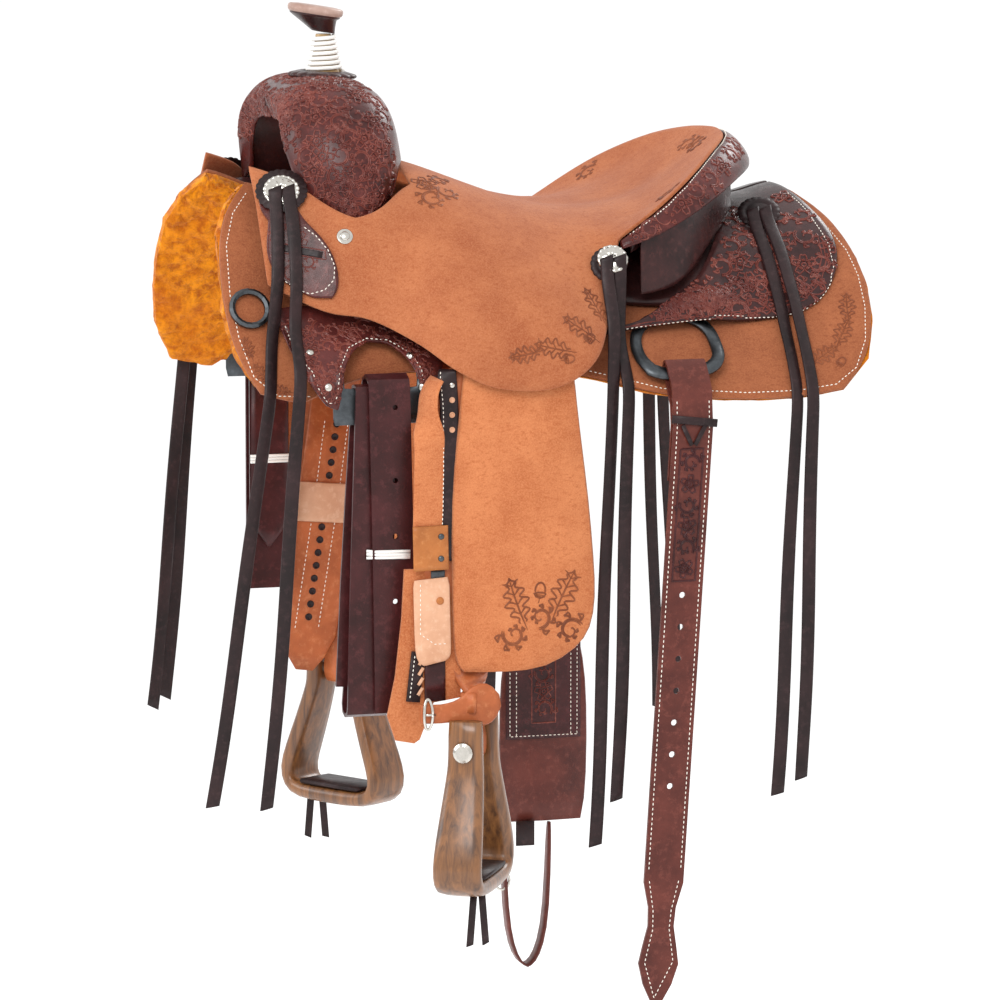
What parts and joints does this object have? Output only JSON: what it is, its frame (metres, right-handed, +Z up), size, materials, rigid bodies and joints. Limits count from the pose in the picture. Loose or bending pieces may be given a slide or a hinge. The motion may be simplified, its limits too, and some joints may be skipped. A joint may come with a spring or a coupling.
{
  "type": "roping saddle",
  "caption": "Western roping saddle: wrapped horn, roughout seat, skirts and fenders, tooled leather trim, wooden stirrups, latigo, billets and a flank cinch hanging at the off side.",
  "frame": {"origin": "on the crown of the horse's back, in the saddle's mid plane under the middle of the seat", "axes": "-X forward to the horse's head, -Y the horse's near (left) side, +Z up"},
  "size_m": [0.7326, 0.68, 1.114],
  "materials": {
    "roughout_leather": "roughout leather, flesh side out, matt tan",
    "dark_tooled_leather": "tooled leather, dark brown, satin",
    "burgundy_leather": "oiled latigo leather, burgundy",
    "russet_leather": "skirting leather, russet, satin",
    "cinch_leather": "harness leather, reddish brown",
    "black_lace": "chrome-tanned lace leather, black brown",
    "stirrup_wood": "bentwood, oiled, semi-gloss",
    "rawhide_tree": "wood under varnished rawhide",
    "golden_fleece": "sheepskin pile, golden",
    "white_cotton": "cotton cloth wrap, off-white",
    "blued_steel": "blackened flat steel",
    "bright_steel": "polished stainless steel"
  },
  "bodies": {
    "saddle": {"seat_cover": "roughout_leather", "skirt_near": "roughout_leather", "skirt_off": "roughout_leather", "swell_cover": "dark_tooled_leather", "cantle_roll": "dark_tooled_leather", "cantle_back": "dark_tooled_leather", "horn_cap": "dark_tooled_leather", "rear_jockey_near": "dark_tooled_leather", "rear_jockey_off": "dark_tooled_leather", "rigging_cover_near": "dark_tooled_leather", "rigging_cover_off": "dark_tooled_leather", "latigo_keeper_near": "dark_tooled_leather", "latigo_keeper_off": "dark_tooled_leather", "ground_seat": "russet_leather", "string_front_near": "black_lace", "string_front_off": "black_lace", "string_mid_near": "black_lace", "string_mid_off": "black_lace", "string_rear_near": "black_lace", "string_rear_off": "black_lace", "mid_rosette_near": "black_lace", "mid_rosette_off": "black_lace", "rear_rosette_near": "black_lace", "rear_rosette_off": "black_lace", "tree_bar_near": "rawhide_tree", "tree_bar_off": "rawhide_tree", "tree_fork": "rawhide_tree", "tree_cantle": "rawhide_tree", "tree_horn": "rawhide_tree", "fleece_near": "golden_fleece", "fleece_off": "golden_fleece", "horn_wrap": "white_cotton", "rigging_plate_near": "blued_steel", "rigging_plate_off": "blued_steel", "rear_dee_near": "blued_steel", "rear_dee_off": "blued_steel", "front_concho_near": "bright_steel", "front_concho_off": "bright_steel", "mid_concho_near": "bright_steel", "mid_concho_off": "bright_steel"},
    "fender_near": {"fender_near": "roughout_leather", "stirrup_leather_near": "russet_leather", "hobble_strap_near": "russet_leather"},
    "stirrup_near": {"stirrup_near": "stirrup_wood", "stirrup_tread_near": "black_lace", "stirrup_bolt_near": "bright_steel"},
    "front_dee_near": {"front_dee_near": "bright_steel"},
    "fender_off": {"fender_off": "roughout_leather", "stirrup_leather_off": "russet_leather", "hobble_strap_off": "russet_leather"},
    "stirrup_off": {"stirrup_off": "stirrup_wood", "stirrup_tread_off": "black_lace", "stirrup_bolt_off": "bright_steel"},
    "front_dee_off": {"front_dee_off": "bright_steel"},
    "latigo_near": {"latigo_near": "burgundy_leather"},
    "billet_off": {"billet_off": "burgundy_leather"},
    "rear_billet_near": {"rear_billet_near": "burgundy_leather"},
    "rear_billet_off": {"rear_billet_off": "cinch_leather", "flank_cinch": "cinch_leather"},
    "cinch_connector": {"cinch_connector": "cinch_leather"}
  },
  "joints": [
    {"name": "fender_swing_near", "type": "hinge", "parent": "saddle", "child": "fender_near", "pos_m": [-0.099, -0.262, -0.06], "axis": [0, 1, 0], "range_deg": [-6, 6]},
    {"name": "stirrup_swing_near", "type": "hinge", "parent": "fender_near", "child": "stirrup_near", "pos_m": [-0.106, -0.262, -0.466], "axis": [-0.515, -0.8572, 0], "range_deg": [-15, 15]},
    {"name": "fender_swing_off", "type": "hinge", "parent": "saddle", "child": "fender_off", "pos_m": [-0.099, 0.262, -0.06], "axis": [0, 1, 0], "range_deg": [-6, 6]},
    {"name": "stirrup_swing_off", "type": "hinge", "parent": "fender_off", "child": "stirrup_off", "pos_m": [-0.106, 0.262, -0.466], "axis": [-0.515, 0.8572, 0], "range_deg": [-15, 15]},
    {"name": "latigo_swing_near", "type": "hinge", "parent": "saddle", "child": "latigo_near", "pos_m": [-0.195, -0.2265, -0.0895], "axis": [1, 0, 0], "range_deg": [-1.5, 5]},
    {"name": "billet_swing_off", "type": "hinge", "parent": "saddle", "child": "billet_off", "pos_m": [-0.2, 0.2265, -0.0915], "axis": [-1, 0, 0], "range_deg": [-2.5, 5]},
    {"name": "rear_billet_swing_near", "type": "hinge", "parent": "saddle", "child": "rear_billet_near", "pos_m": [0.126, -0.2528, -0.0808], "axis": [1, 0, 0], "range_deg": [-8, 0]},
    {"name": "rear_billet_swing_off", "type": "hinge", "parent": "saddle", "child": "rear_billet_off", "pos_m": [0.126, 0.2528, -0.0808], "axis": [-1, 0, 0], "range_deg": [-8, 0]},
    {"name": "connector_swing", "type": "hinge", "parent": "rear_billet_off", "child": "cinch_connector", "pos_m": [0.1175, 0.2946, -0.658], "axis": [-1, 0, 0], "range_deg": [-10, 10]},
    {"name": "front_dee_swing_near", "type": "hinge", "parent": "saddle", "child": "front_dee_near", "pos_m": [-0.2988, -0.1636, -0.0139], "axis": [0, 0.4612, 0.8873], "range_deg": [0, 6]},
    {"name": "front_dee_swing_off", "type": "hinge", "parent": "saddle", "child": "front_dee_off", "pos_m": [-0.2988, 0.1636, -0.0139], "axis": [0, 0.4612, -0.8873], "range_deg": [0, 6]}
  ]
}
